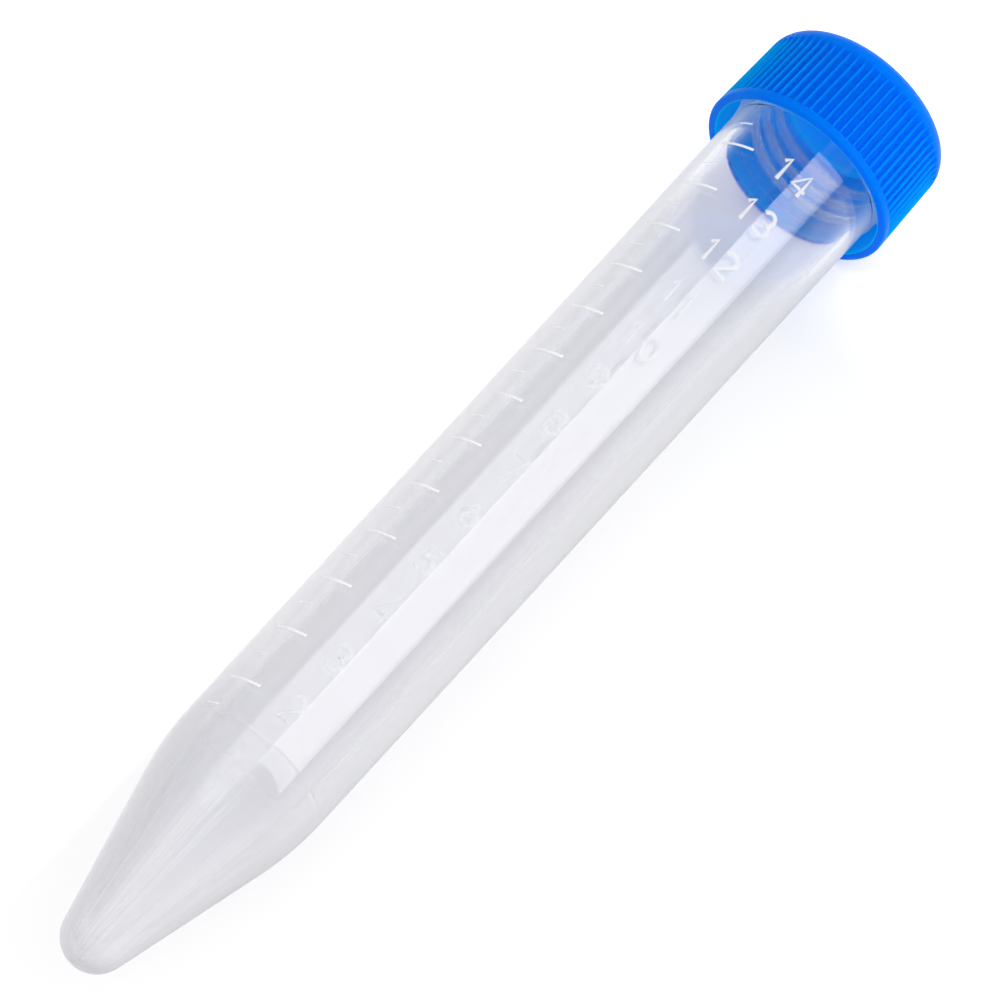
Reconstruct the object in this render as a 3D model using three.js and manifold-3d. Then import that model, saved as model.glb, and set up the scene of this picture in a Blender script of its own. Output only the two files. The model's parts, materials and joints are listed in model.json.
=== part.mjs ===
// 15 ml conical tube with a screw cap, closed and lying on its side as it comes to rest.
// Millimetres, +Z up, +X towards the cap, the box's bottom centre at the origin.
//
// The object is two mouldings. The tube is clear polypropylene: a rounded tip, a cone, a slightly drafted
// barrel and a neck with a two-start screw thread. The cap is blue polypropylene: a ribbed skirt, a flat
// top with a rounded edge, and a seal ring that enters the tube's mouth.
// Each piece is built upright on its own axis, with the tip at Z = 0, and the pair is then laid down.

import * as THREE from 'three';
import { mergeVertices } from 'three/addons/utils/BufferGeometryUtils.js';
import Module from 'manifold-3d';

const wasm = await Module();
wasm.setup();

// ---- Driving dimensions ----

// Tube, outside
const BARREL_LENGTH = 86.9; // shoulder to the plane of the cap's open end
const CONE_HEIGHT = 21.9; // tip to the shoulder
const SHOULDER_RADIUS = 7.95;
const NECK_RADIUS = 8.5;
const SHOULDER_BEND = 33; // radius of the soft bend between cone and barrel
const TIP_RADIUS = 3.35;

// Tube, inside
const TUBE_WALL = 1.12;
const TIP_FLOOR = 3.2; // solid plastic under the bore
const TIP_BORE_RADIUS = 0.9;
const MOUTH_CHAMFER = 0.3;

// Neck thread
const THREAD_STARTS = 2;
const THREAD_PITCH = 1.83; // ridge to ridge along the axis
const THREAD_HEIGHT = 0.7;
const THREAD_BASE_WIDTH = 1.15;
const THREAD_CREST_WIDTH = 0.45;
const THREAD_INSET = 1.6; // the cap's open end to the middle of the first ridge
const THREAD_LAND = 2.0; // the middle of the last ridge to the mouth
const THREAD_FADE = 0.13; // share of a ridge over which each end runs out
const THREAD_END_SHARE = 0.05; // of its height that is left where it ends

// Screw cap
const CAP_WALL = 1.0;
const CAP_TOP_THICKNESS = 1.4;
const CAP_HEIGHT = 11.2;
const CAP_DRAFT = 0.24; // the skirt's radius is this much smaller at the top
const CAP_EDGE_RADIUS = 2.1;
const RIM_BAND = 0.8; // plain band at the open end
const RIB_COUNT = 72;
const RIB_DEPTH = 0.3;
const RIB_CREST_SHARE = 0.4; // of the rib's pitch
const RIB_FOOT_SHARE = 0.7;
const RIB_SETBACK = 0.04; // the ribs stand this much lower than the plain bands
const SEAL_WALL = 0.8;
const SEAL_DEPTH = 2.2;

// Clearances
const THREAD_CLEARANCE = 0.38; // thread crest to the cap's bore
const SEAT_CLEARANCE = 0.3; // mouth to the underside of the cap's top
const SEAL_CLEARANCE = 0.3; // seal ring to the bore

// Facets
const TUBE_SIDES = 48;
const CAP_SIDES = RIB_COUNT;
const TIP_STEPS = 5;
const BEND_STEPS = 4;
const EDGE_STEPS = 5;
const SKIN = 0.3; // how far a joined feature sinks into the body it grows from

// ---- Derived dimensions ----

const RIM_Z = CONE_HEIGHT + BARREL_LENGTH;
const TOP_Z = RIM_Z + CAP_HEIGHT;
const CAP_CEILING_Z = TOP_Z - CAP_TOP_THICKNESS;
const MOUTH_Z = CAP_CEILING_Z - SEAT_CLEARANCE;
const BORE_RADIUS = NECK_RADIUS - TUBE_WALL;
const THREAD_LEAD = THREAD_PITCH * THREAD_STARTS; // climb of a ridge in one turn
const THREAD_CLIMB = MOUTH_Z - THREAD_LAND - RIM_Z - THREAD_INSET;
const THREAD_CREST_RADIUS = NECK_RADIUS + THREAD_HEIGHT;
const CAP_BORE_RADIUS = THREAD_CREST_RADIUS + THREAD_CLEARANCE;
const CAP_RADIUS = CAP_BORE_RADIUS + CAP_WALL;
const SEAL_RADIUS = BORE_RADIUS - SEAL_CLEARANCE;
const BARREL_DRAFT = Math.atan2(NECK_RADIUS - SHOULDER_RADIUS, BARREL_LENGTH);

// ---- Solids ----

// A closed geometry as a solid: shared vertices are merged and triangles with no area are left out.
function solid(geometry) {
  const bare = geometry.clone();
  bare.deleteAttribute('normal');
  bare.deleteAttribute('uv');
  const merged = mergeVertices(bare, 1e-4);
  const corners = merged.index.array;
  const kept = [];
  for (let i = 0; i < corners.length; i += 3) {
    const [a, b, c] = [corners[i], corners[i + 1], corners[i + 2]];
    if (a !== b && b !== c && c !== a) {
      kept.push(a, b, c);
    }
  }
  return new wasm.Manifold(new wasm.Mesh({
    numProp: 3,
    vertProperties: new Float32Array(merged.attributes.position.array),
    triVerts: new Uint32Array(kept),
  }));
}

function toMesh(body, name, material) {
  const result = body.getMesh();
  const geometry = new THREE.BufferGeometry();
  geometry.setAttribute('position', new THREE.BufferAttribute(result.vertProperties, 3));
  geometry.setIndex(new THREE.BufferAttribute(result.triVerts, 1));
  geometry.computeVertexNormals();
  const mesh = new THREE.Mesh(geometry, material);
  mesh.name = name;
  return mesh;
}

// A body of revolution about Z from [radius, height] points, with a flat of its polygon towards +X.
function revolve(points, sides) {
  const outline = points.map(([radius, height]) => new THREE.Vector2(radius, height));
  const halfSide = Math.PI / sides;
  const geometry = new THREE.LatheGeometry(outline, sides, Math.PI / 2 + halfSide);
  geometry.rotateX(Math.PI / 2);
  return solid(geometry);
}

// Points on an arc in the radius and height plane. Angles are from the radius direction towards the height.
function arc(radius, height, bend, from, to, steps) {
  const points = [];
  for (let i = 0; i <= steps; i += 1) {
    const angle = from + (to - from) * i / steps;
    points.push([radius + bend * Math.cos(angle), height + bend * Math.sin(angle)]);
  }
  return points;
}

// ---- Tube ----

// A wall from the tip to the mouth: a tip ball, the cone that touches it, the bend and the drafted barrel.
// The outside and the bore are both such walls, each with its own tip and radii.
function tubeWall({ tipZ, tipRadius, shoulderRadius, bend, topRadius, topZ }) {
  const ballZ = tipZ + tipRadius;
  const rise = CONE_HEIGHT - ballZ;
  const coneAngle = Math.atan2(shoulderRadius, rise)
    - Math.asin(tipRadius / Math.hypot(rise, shoulderRadius));
  const tangent = bend * Math.tan((coneAngle - BARREL_DRAFT) / 2);
  const bendRadius = shoulderRadius + tangent * Math.sin(BARREL_DRAFT) - bend * Math.cos(BARREL_DRAFT);
  const bendZ = CONE_HEIGHT + tangent * Math.cos(BARREL_DRAFT) + bend * Math.sin(BARREL_DRAFT);
  const tip = arc(0, ballZ, tipRadius, -Math.PI / 2, -coneAngle, TIP_STEPS);
  tip[0][0] = 0;
  const points = [
    ...tip,
    ...arc(bendRadius, bendZ, bend, -coneAngle, -BARREL_DRAFT, BEND_STEPS),
    [topRadius, RIM_Z],
    [topRadius, topZ],
  ];
  return { points, bendRadius, bendZ };
}

const outside = tubeWall({
  tipZ: 0,
  tipRadius: TIP_RADIUS,
  shoulderRadius: SHOULDER_RADIUS,
  bend: SHOULDER_BEND,
  topRadius: NECK_RADIUS,
  topZ: MOUTH_Z - MOUTH_CHAMFER,
});

const bore = tubeWall({
  tipZ: TIP_FLOOR,
  tipRadius: TIP_BORE_RADIUS,
  shoulderRadius: SHOULDER_RADIUS - TUBE_WALL,
  bend: SHOULDER_BEND - TUBE_WALL,
  topRadius: BORE_RADIUS,
  topZ: MOUTH_Z,
});

// The share of its full height that a ridge has at a place along it, from 0 at its start to 1 at its end.
function ridgeShare(along) {
  const fromEnd = Math.min(along, 1 - along);
  return Math.min(1, THREAD_END_SHARE + (1 - THREAD_END_SHARE) * fromEnd / THREAD_FADE);
}

// One ridge: a straight bar of the ridge's section, wrapped round the neck as it climbs.
function threadRidge(startAngle) {
  const foot = THREAD_BASE_WIDTH / 2;
  const crest = THREAD_CREST_WIDTH / 2;
  const section = new THREE.Shape([
    new THREE.Vector2(-SKIN, -foot),
    new THREE.Vector2(0, -foot),
    new THREE.Vector2(THREAD_HEIGHT, -crest),
    new THREE.Vector2(THREAD_HEIGHT, crest),
    new THREE.Vector2(0, foot),
    new THREE.Vector2(-SKIN, foot),
  ]);
  const turns = THREAD_CLIMB / THREAD_LEAD;
  const steps = Math.round(turns * TUBE_SIDES / 2);
  const bar = new THREE.ExtrudeGeometry(section, { depth: 1, steps, bevelEnabled: false });
  const spots = bar.attributes.position;
  for (let i = 0; i < spots.count; i += 1) {
    const along = spots.getZ(i);
    const height = spots.getX(i) > 0 ? spots.getX(i) * ridgeShare(along) : spots.getX(i);
    const angle = startAngle + along * turns * 2 * Math.PI;
    const radius = NECK_RADIUS + height;
    const z = RIM_Z + THREAD_INSET + along * THREAD_CLIMB + spots.getY(i);
    spots.setXYZ(i, radius * Math.cos(angle), radius * Math.sin(angle), z);
  }
  return solid(bar);
}

function makeTube() {
  const mouthLip = [[NECK_RADIUS - MOUTH_CHAMFER, MOUTH_Z], [0, MOUTH_Z]];
  let body = revolve([...outside.points, ...mouthLip], TUBE_SIDES);
  for (let start = 0; start < THREAD_STARTS; start += 1) {
    body = body.add(threadRidge((start + 0.5) * 2 * Math.PI / THREAD_STARTS));
  }
  const hollow = [...bore.points, [BORE_RADIUS, MOUTH_Z + SKIN], [0, MOUTH_Z + SKIN]];
  return body.subtract(revolve(hollow, TUBE_SIDES));
}

// ---- Screw cap ----

// The ribs as one toothed block, narrowing with the skirt's draft.
function makeRibs(fromZ, toZ, slope) {
  const crestRadius = CAP_RADIUS - slope * (fromZ - RIM_Z) - RIB_SETBACK;
  const pitch = 2 * Math.PI / RIB_COUNT;
  const crest = RIB_CREST_SHARE * pitch / 2;
  const foot = RIB_FOOT_SHARE * pitch / 2;
  const outline = [];
  for (let rib = 0; rib < RIB_COUNT; rib += 1) {
    const middle = (rib + 0.5) * pitch;
    const corners = [
      [crestRadius - RIB_DEPTH - SKIN, -foot],
      [crestRadius, -crest],
      [crestRadius, crest],
      [crestRadius - RIB_DEPTH - SKIN, foot],
    ];
    for (const [radius, turn] of corners) {
      outline.push(new THREE.Vector2(radius * Math.cos(middle + turn), radius * Math.sin(middle + turn)));
    }
  }
  const block = new THREE.ExtrudeGeometry(new THREE.Shape(outline), {
    depth: toZ - fromZ,
    bevelEnabled: false,
  });
  const spots = block.attributes.position;
  for (let i = 0; i < spots.count; i += 1) {
    const shrink = 1 - slope * spots.getZ(i) / crestRadius;
    spots.setXYZ(i, spots.getX(i) * shrink, spots.getY(i) * shrink, fromZ + spots.getZ(i));
  }
  return solid(block);
}

function makeCap() {
  const sideTop = TOP_Z - CAP_EDGE_RADIUS;
  const slope = CAP_DRAFT / (sideTop - RIM_Z);
  const skirt = (z) => CAP_RADIUS - slope * (z - RIM_Z);
  const ribsFrom = RIM_Z + RIM_BAND;
  const ribsTo = sideTop + SKIN;
  const shell = revolve([
    [0, RIM_Z],
    [CAP_RADIUS, RIM_Z],
    [skirt(ribsFrom), ribsFrom],
    [skirt(ribsFrom) - RIB_DEPTH, ribsFrom],
    [skirt(sideTop) - RIB_DEPTH, sideTop],
    ...arc(skirt(sideTop) - CAP_EDGE_RADIUS, sideTop, CAP_EDGE_RADIUS, 0, Math.PI / 2, EDGE_STEPS),
    [0, TOP_Z],
  ], CAP_SIDES);
  const ribs = makeRibs(ribsFrom - SKIN, ribsTo, slope);
  const hollow = revolve([
    [0, RIM_Z - SKIN],
    [CAP_BORE_RADIUS, RIM_Z - SKIN],
    [CAP_BORE_RADIUS, CAP_CEILING_Z],
    [SEAL_RADIUS, CAP_CEILING_Z],
    [SEAL_RADIUS, MOUTH_Z - SEAL_DEPTH],
    [SEAL_RADIUS - SEAL_WALL, MOUTH_Z - SEAL_DEPTH],
    [SEAL_RADIUS - SEAL_WALL, CAP_CEILING_Z],
    [0, CAP_CEILING_Z],
  ], CAP_SIDES);
  return shell.add(ribs).subtract(hollow);
}

// ---- Assembly ----

const clearPolypropylene = new THREE.MeshStandardMaterial({
  color: '#dfe2ea',
  roughness: 0.25,
  metalness: 0,
  transparent: true,
  opacity: 0.4,
});

const bluePolypropylene = new THREE.MeshStandardMaterial({
  color: '#0573ea',
  roughness: 0.4,
  metalness: 0,
});

// The pair lies on the cap's open end and the tube's shoulder, each with a flat of its polygon down, so the
// axis climbs towards the cap by the angle of the line that touches both.
function restingTilt() {
  const capFlat = Math.cos(Math.PI / CAP_SIDES);
  const tubeFlat = Math.cos(Math.PI / TUBE_SIDES);
  const run = RIM_Z - outside.bendZ;
  const rise = CAP_RADIUS * capFlat - outside.bendRadius * tubeFlat;
  return Math.atan2(rise, run) - Math.asin(SHOULDER_BEND * tubeFlat / Math.hypot(run, rise));
}

const tube = new THREE.Group();
tube.add(toMesh(makeTube(), 'tube', clearPolypropylene));
tube.add(toMesh(makeCap(), 'screw_cap', bluePolypropylene));
tube.rotation.y = Math.PI / 2 - restingTilt();

const extent = new THREE.Box3().setFromObject(tube, true);
const middle = extent.getCenter(new THREE.Vector3());
tube.position.set(-middle.x, -middle.y, -extent.min.z);

const conicalTube = new THREE.Group();
conicalTube.add(tube);

export default conicalTube;
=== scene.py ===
"""A 15 ml conical tube: a clear polypropylene tube with its blue screw cap on, lying on its side."""

import json
import math

import bpy
from mathutils import Matrix, Vector


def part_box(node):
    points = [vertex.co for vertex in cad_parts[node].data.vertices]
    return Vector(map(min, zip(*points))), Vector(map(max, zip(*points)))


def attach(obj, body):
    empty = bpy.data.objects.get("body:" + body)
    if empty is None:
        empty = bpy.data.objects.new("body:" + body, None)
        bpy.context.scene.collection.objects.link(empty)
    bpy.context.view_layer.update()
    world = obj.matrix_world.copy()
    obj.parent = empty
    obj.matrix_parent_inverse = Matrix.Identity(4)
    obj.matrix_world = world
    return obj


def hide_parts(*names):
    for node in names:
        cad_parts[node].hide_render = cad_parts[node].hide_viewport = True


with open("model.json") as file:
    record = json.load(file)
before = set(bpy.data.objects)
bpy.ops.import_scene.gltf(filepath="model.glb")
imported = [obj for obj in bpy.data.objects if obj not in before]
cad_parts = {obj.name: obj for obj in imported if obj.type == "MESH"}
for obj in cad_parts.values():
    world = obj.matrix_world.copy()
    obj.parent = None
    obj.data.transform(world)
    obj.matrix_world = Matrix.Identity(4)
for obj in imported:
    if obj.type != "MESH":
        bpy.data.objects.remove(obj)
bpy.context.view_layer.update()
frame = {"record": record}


# ---- How the tube lies ----
# The closed tube has rolled to rest on its cap's open end and its shoulder. Every piece is made
# upright, in millimetres, with the tip at zero and +X up, and is then laid along the axis of the
# cap's flat top.

MM = 0.001
LENGTH = 120.0

cap_top = frame["record"]["mounts"][0]
AXIS = Vector(cap_top["axis"]).normalized()
UP = AXIS.cross(Vector((0, 1, 0)))
SIDE = AXIS.cross(UP)
TIP = Vector(cap_top["pos_m"]) - AXIS * LENGTH * MM
TURN = Matrix((UP, SIDE, AXIS)).transposed().to_4x4()
LIE = Matrix.Translation(TIP) @ TURN @ Matrix.Scale(MM, 4)


# ---- Camera, floor and light ----
# A long lens looks down on the tube from its side and its tip end. The floor is matt white card,
# with painted light added where it is seen. The room's light is brighter towards the window, and
# three softboxes stand round the tube: a large one beyond the cap, one right above, and one past the
# cone.

VIEW_AZIMUTH = math.radians(-52.37)
VIEW_ELEVATION = math.radians(54.63)
VIEW_DISTANCE = 0.5259
VIEW_AIM = Vector((0.0010, -0.0006, 0.0103))
VIEW_LENS = 203.7
VIEW_REACH = 20.0

back = Vector((
    math.sin(VIEW_AZIMUTH) * math.cos(VIEW_ELEVATION),
    -math.cos(VIEW_AZIMUTH) * math.cos(VIEW_ELEVATION),
    math.sin(VIEW_ELEVATION),
))
camera = bpy.data.objects.new("camera", bpy.data.cameras.new("camera"))
camera.data.lens = VIEW_LENS
camera.data.clip_end = VIEW_REACH
camera.location = VIEW_AIM + back * VIEW_DISTANCE
camera.rotation_euler = (-back).to_track_quat("-Z", "Y").to_euler()
bpy.context.scene.collection.objects.link(camera)
bpy.context.scene.camera = camera
bpy.context.scene.view_settings.view_transform = "Standard"


def add_node(tree, kind, inputs=None, **settings):
    """Adds a node with its settings. An input, by name or number, gets a value or a link, which is
    from a socket or from a node's first output."""
    node = tree.nodes.new(kind)
    for key, value in settings.items():
        setattr(node, key, value)
    for key, value in (inputs or {}).items():
        if isinstance(value, bpy.types.Node):
            value = value.outputs[0]
        if isinstance(value, bpy.types.NodeSocket):
            tree.links.new(value, node.inputs[key])
        else:
            node.inputs[key].default_value = value
    return node


def linear(code):
    """An sRGB hex colour, such as "0573ea", as linear RGBA."""
    channels = [int(code[i:i + 2], 16) / 255 for i in (0, 2, 4)]
    return (*[c / 12.92 if c <= 0.04045 else ((c + 0.055) / 1.055) ** 2.4 for c in channels], 1.0)


def new_material(name):
    """A material and its empty tree."""
    material = bpy.data.materials.new(name)
    material.use_nodes = True
    material.node_tree.nodes.clear()
    return material, material.node_tree


def seen_rays(tree):
    """1 for rays from the camera and for those that glossy and clear faces pass on, 0 for others."""
    path = add_node(tree, "ShaderNodeLightPath")
    either = add_node(tree, "ShaderNodeMath", {
        0: path.outputs["Is Camera Ray"], 1: path.outputs["Is Glossy Ray"]}, operation="MAXIMUM")
    return add_node(tree, "ShaderNodeMath", {
        0: either, 1: path.outputs["Is Transmission Ray"]}, operation="MAXIMUM")


FLOOR_SIZE = 6.0
FLOOR_PAINTED_LIGHT = (0.06, 0.42)  # added where the floor is seen: near the tube's shadow, and elsewhere
FLOOR_MIDDLE = (-0.02, 0.0, 0.0)
FLOOR_NEAR = (0.06, 0.076)  # distances from the middle between which the first turns to the second
FLOOR_SIDE = (0.0115, 0.0145)  # the same along +Y, away from the window

# White card has a matt face, which shows soft shadows and no gloss. Painted light is added where
# it is seen: little near the tube, so that the tube's shadow shows, and more further off, from the
# cap on, and along +Y, where it paints out the shadows that fall there.
floor_material, tree = new_material("white_card")
matt = add_node(tree, "ShaderNodeBsdfDiffuse", {"Color": linear("e6e6e6")})
where = add_node(tree, "ShaderNodeTexCoord").outputs["Object"]
off = add_node(tree, "ShaderNodeVectorMath", {0: where, 1: FLOOR_MIDDLE}, operation="DISTANCE")
aside = add_node(tree, "ShaderNodeSeparateXYZ", {0: where})
lifts = [
    add_node(tree, "ShaderNodeMapRange", {
        0: value, 1: span[0], 2: span[1], 3: FLOOR_PAINTED_LIGHT[0], 4: FLOOR_PAINTED_LIGHT[1],
    }, interpolation_type="SMOOTHSTEP")
    for value, span in ((off.outputs["Value"], FLOOR_NEAR), (aside.outputs["Y"], FLOOR_SIDE))
]
# painted light: the larger of the two glows, added where the floor is seen
lift = add_node(tree, "ShaderNodeMath", {0: lifts[0], 1: lifts[1]}, operation="MAXIMUM")
seen = add_node(tree, "ShaderNodeMath", {0: seen_rays(tree), 1: lift}, operation="MULTIPLY")
glow = add_node(tree, "ShaderNodeEmission", {"Strength": seen})
both = add_node(tree, "ShaderNodeAddShader", {0: matt, 1: glow})
add_node(tree, "ShaderNodeOutputMaterial", {"Surface": both})

half = FLOOR_SIZE / 2
floor_mesh = bpy.data.meshes.new("floor")
floor_corners = [(-half, -half, 0), (half, -half, 0), (half, half, 0), (-half, half, 0)]
floor_mesh.from_pydata(floor_corners, [], [(0, 1, 2, 3)])
floor_mesh.materials.append(floor_material)
floor = bpy.data.objects.new("floor", floor_mesh)
bpy.context.scene.collection.objects.link(floor)

SKY_LOW = linear("ffffff")
SKY_HIGH = linear("2c2e32")
SKY_EDGE = (0.03, 0.32)  # heights between which the studio's pale horizon turns to its grey ceiling
SKY_LIGHT = ((0.66, 0.66, 0.66, 1), (1.0, 1.0, 1.0, 1))  # on matt faces: dim side, window side

world = bpy.data.worlds.new("studio")
world.use_nodes = True
bpy.context.scene.world = world
tree = world.node_tree
tree.nodes.clear()
where = add_node(tree, "ShaderNodeTexCoord").outputs["Generated"]
way = add_node(tree, "ShaderNodeSeparateXYZ", {0: where})
rise = add_node(tree, "ShaderNodeMapRange", {0: way.outputs["Z"], 1: SKY_EDGE[0], 2: SKY_EDGE[1]})
room = add_node(tree, "ShaderNodeMix", {0: rise, 6: SKY_LOW, 7: SKY_HIGH}, data_type="RGBA")
side = add_node(tree, "ShaderNodeMapRange", {0: way.outputs["Y"], 1: 1.0, 2: -1.0})
light = add_node(tree, "ShaderNodeMix", {
    0: side, 6: SKY_LIGHT[0], 7: SKY_LIGHT[1]}, data_type="RGBA")
sky = add_node(tree, "ShaderNodeMix", {
    0: seen_rays(tree), 6: light.outputs[2], 7: room.outputs[2]}, data_type="RGBA")
backdrop = add_node(tree, "ShaderNodeBackground", {"Color": sky.outputs[2]})
add_node(tree, "ShaderNodeOutputWorld", {"Surface": backdrop})


def softbox(name, turn, away, along, length, width, radiance):
    """A softbox that faces the tube's line: its turn from straight up, how far away and how far along
    it stands, and its length along the tube and width across it."""
    turn = math.radians(turn)
    lamp = bpy.data.lights.new(name, "AREA")
    lamp.shape = "RECTANGLE"
    lamp.size, lamp.size_y = length, width
    lamp.energy = radiance * math.pi * length * width
    box = bpy.data.objects.new(name, lamp)
    place = Matrix.Translation((along, -away * math.sin(turn), away * math.cos(turn)))
    box.matrix_world = place @ Matrix.Rotation(turn, 4, "X")
    box.visible_camera = False
    bpy.context.scene.collection.objects.link(box)


softbox("main_softbox", 47.2, 1.2, 0.575, 0.77, 1.115, 3.75)
softbox("top_softbox", 9, 1.2, 0.03, 0.29, 1.17, 0.5)
softbox("cone_softbox", 4, 1.2, -0.33, 0.46, 0.7, 1.6)


# ---- Tube ----
# One injection moulding in clear polypropylene: a rounded tip, a cone, a barrel with a little draft
# and an open neck with a screw thread. It comes from a polished steel mould, so both of its walls
# are smooth, and the plastic itself is milky.

CONE_HEIGHT = 21.9
RIM_HEIGHT = 108.8  # the plane of the cap's open end
MOUTH_HEIGHT = 118.3
SHOULDER_RADIUS = 7.93
NECK_RADIUS = 8.48
SHOULDER_BEND = 33.0
TIP_RADIUS = 3.35
TUBE_WALL = 1.12
TIP_FLOOR = 3.2
TIP_BORE_RADIUS = 0.9
LIP_RADIUS = 0.3
DRAFT = math.atan2(NECK_RADIUS - SHOULDER_RADIUS, RIM_HEIGHT - CONE_HEIGHT)

TUBE_SIDES = 192
TIP_STEPS, BEND_STEPS, LIP_STEPS = 20, 16, 5  # steps along each arc of the wall's section
SHARP_ANGLE = math.radians(38)  # edges are sharp where two faces turn by more than this

MOULD_LINE = 0.3  # width of the fine lines where the mould's parts met, round the shoulder and neck
MOULD_LINE_STEPS = 6
SHOULDER_LINE = (24.9, -0.02)  # height, and how far the line stands out
NECK_LINE = (109.65, 0.08)

THREAD_STARTS = 2
THREAD_PITCH = 1.83
THREAD_HEIGHT = 0.7
THREAD_FOOT = 1.15
THREAD_CREST = 0.45
THREAD_FIRST = 1.6  # the cap's open end to the first ridge
THREAD_LAND = 2.0  # the last ridge to the mouth
THREAD_FADE = 0.75
THREAD_ROW = 0.07  # height of a row of the wall's mesh along the thread
THREAD_ROOM = 0.01  # a point this near to the neck's radius takes part in the thread

POLYPROPYLENE_IOR = 1.49
NOISE_SPAN = (0.3, 0.7)  # most of a noise texture's values lie between these
SKIN_ROUGHNESS = (0.03, 0.1)
FLOW_WAVES = (1.8, 1.8, 0.06)  # waves of the flow streaks to a millimetre: fine across, long along
FLOW_RISE = 0.03
CONE_LINES = 5.5  # fine lines fan out along the cone: how many waves of them to a radian
CONE_LINE_SPAN = (0.55, 0.66)  # the part of each wave that stands up as a line
CONE_LINE_RISE = 0.03
CONE_LINE_FADE = (CONE_HEIGHT + 1, CONE_HEIGHT - 8)

WALL_MILK = 0.007  # the share of light that each face of the wall scatters
EDGE_MILK = 0.8  # the same where the outer face is seen edge on
EDGE_SPAN = (0.22, 0.52)  # how far it is turned away where that starts, and where it is full
CLEAR_NECK = (88.0, 102.0)  # heights between which the neck's faces turn clearer
CLEAR_NECK_SHIFT = 0.2  # and by how much more they have to turn away
RIDGE_MILK = 0.5  # added in the thread's ridges
RIDGE_SPAN = (0.05, 0.5)  # how far a ridge stands out where that starts, and where it is full
TIP_MILK = 0.7  # added at the solid tip
SOLID_TIP = (4.0, 36.0)  # heights between which that fades
# painted highlight: milk added on the cone's lines, so that they show as pale reflected streaks
CONE_LINE_HIGHLIGHT = 0.2
MILK_FRONT = 0.6  # the share of the scattered light that comes back from the lit side

PATCH_TURN = math.radians(153.1)  # from straight up to the patch, on the side away from the scale
PATCH_HEIGHT = 71.5
PATCH_HALF = (5.6, 20.5)  # half its width round the barrel, and half its height
PATCH_CORNER = 2.5
PATCH_EDGE = 0.1
PATCH_MILK = 0.04


def arc(radius, height, bend, start, end, steps):
    """Points on an arc in the radius and height plane."""
    angles = [start + (end - start) * i / steps for i in range(steps + 1)]
    return [(radius + bend * math.cos(a), height + bend * math.sin(a)) for a in angles]


def wall(tip_height, tip_radius, shoulder_radius, bend):
    """The tip ball, the cone that touches it, and the soft bend into the barrel, from the axis up."""
    ball = tip_height + tip_radius
    rise = CONE_HEIGHT - ball
    cone = math.atan2(shoulder_radius, rise)
    cone -= math.asin(tip_radius / math.hypot(rise, shoulder_radius))
    tangent = bend * math.tan((cone - DRAFT) / 2)
    bend_radius = shoulder_radius + tangent * math.sin(DRAFT) - bend * math.cos(DRAFT)
    bend_height = CONE_HEIGHT + tangent * math.cos(DRAFT) + bend * math.sin(DRAFT)
    tip = arc(0, ball, tip_radius, -math.pi / 2, -cone, TIP_STEPS)
    shoulder = arc(bend_radius, bend_height, bend, -cone, -DRAFT, BEND_STEPS)
    return [(0, tip_height), *tip[1:], *shoulder]


def revolve(name, profile, sides):
    """A closed mesh from (radius, height) points that start and end on the axis, going up outside."""
    points, faces, rings = [], [], []
    for radius, height in profile:
        count = sides if radius > 0 else 1
        rings.append(range(len(points), len(points) + count))
        for i in range(count):
            turn = 2 * math.pi * i / sides
            points.append((radius * math.cos(turn), radius * math.sin(turn), height))
    for low, high in zip(rings, rings[1:]):
        for i in range(sides):
            j = (i + 1) % sides
            corners = [
                low[i % len(low)], low[j % len(low)], high[j % len(high)], high[i % len(high)]]
            faces.append(list(dict.fromkeys(corners)))
    mesh = bpy.data.meshes.new(name)
    mesh.from_pydata(points, [], faces)
    return mesh


def geometry_tree(name, sizes):
    """An empty geometry tree with a named number input for each size, its input and its output."""
    tree = bpy.data.node_groups.new(name, "GeometryNodeTree")
    tree.interface.new_socket("Geometry", in_out="INPUT", socket_type="NodeSocketGeometry")
    for size in sizes:
        tree.interface.new_socket(size, in_out="INPUT", socket_type="NodeSocketFloat")
    tree.interface.new_socket("Geometry", in_out="OUTPUT", socket_type="NodeSocketGeometry")
    return tree, tree.nodes.new("NodeGroupInput"), tree.nodes.new("NodeGroupOutput")


def finish_tree(tree, end, geometry, material):
    """Ends a tree: its instances are made real, and everything gets its material."""
    real = add_node(tree, "GeometryNodeRealizeInstances", {"Geometry": geometry})
    painted = add_node(tree, "GeometryNodeSetMaterial", {"Geometry": real, "Material": material})
    tree.links.new(painted.outputs[0], end.inputs[0])


def grown(name, mesh, tree, sizes):
    """The plain mesh that a geometry tree makes from a mesh with these sizes."""
    source = bpy.data.objects.new(name + "_source", mesh)
    bpy.context.scene.collection.objects.link(source)
    modifier = source.modifiers.new(name, "NODES")
    modifier.node_group = tree
    for item in tree.interface.items_tree:
        if item.in_out == "INPUT" and item.name in sizes:
            modifier[item.identifier] = float(sizes[item.name])
    evaluated = source.evaluated_get(bpy.context.evaluated_depsgraph_get())
    made = bpy.data.meshes.new_from_object(evaluated)
    source.modifiers.clear()
    bpy.data.objects.remove(source)
    return made


def lay(name, mesh, body, nodes=()):
    """Lays an upright mesh in its place as a finished piece that rides on a body."""
    mesh.transform(LIE)
    mesh.shade_smooth()
    mesh.set_sharp_from_angle(angle=SHARP_ANGLE)
    mesh.name = name
    piece = bpy.data.objects.new(name, mesh)
    bpy.context.scene.collection.objects.link(piece)
    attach(piece, body)
    if nodes:
        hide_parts(*nodes)


def upright(tree):
    """Where a point of a piece lies on the upright tube, in millimetres from the tip."""
    where = add_node(tree, "ShaderNodeTexCoord").outputs["Object"]
    return add_node(tree, "ShaderNodeMapping", {
        0: where, 1: TIP, 2: LIE.decompose()[1].to_euler(), 3: (MM, MM, MM)}, vector_type="TEXTURE")


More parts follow.
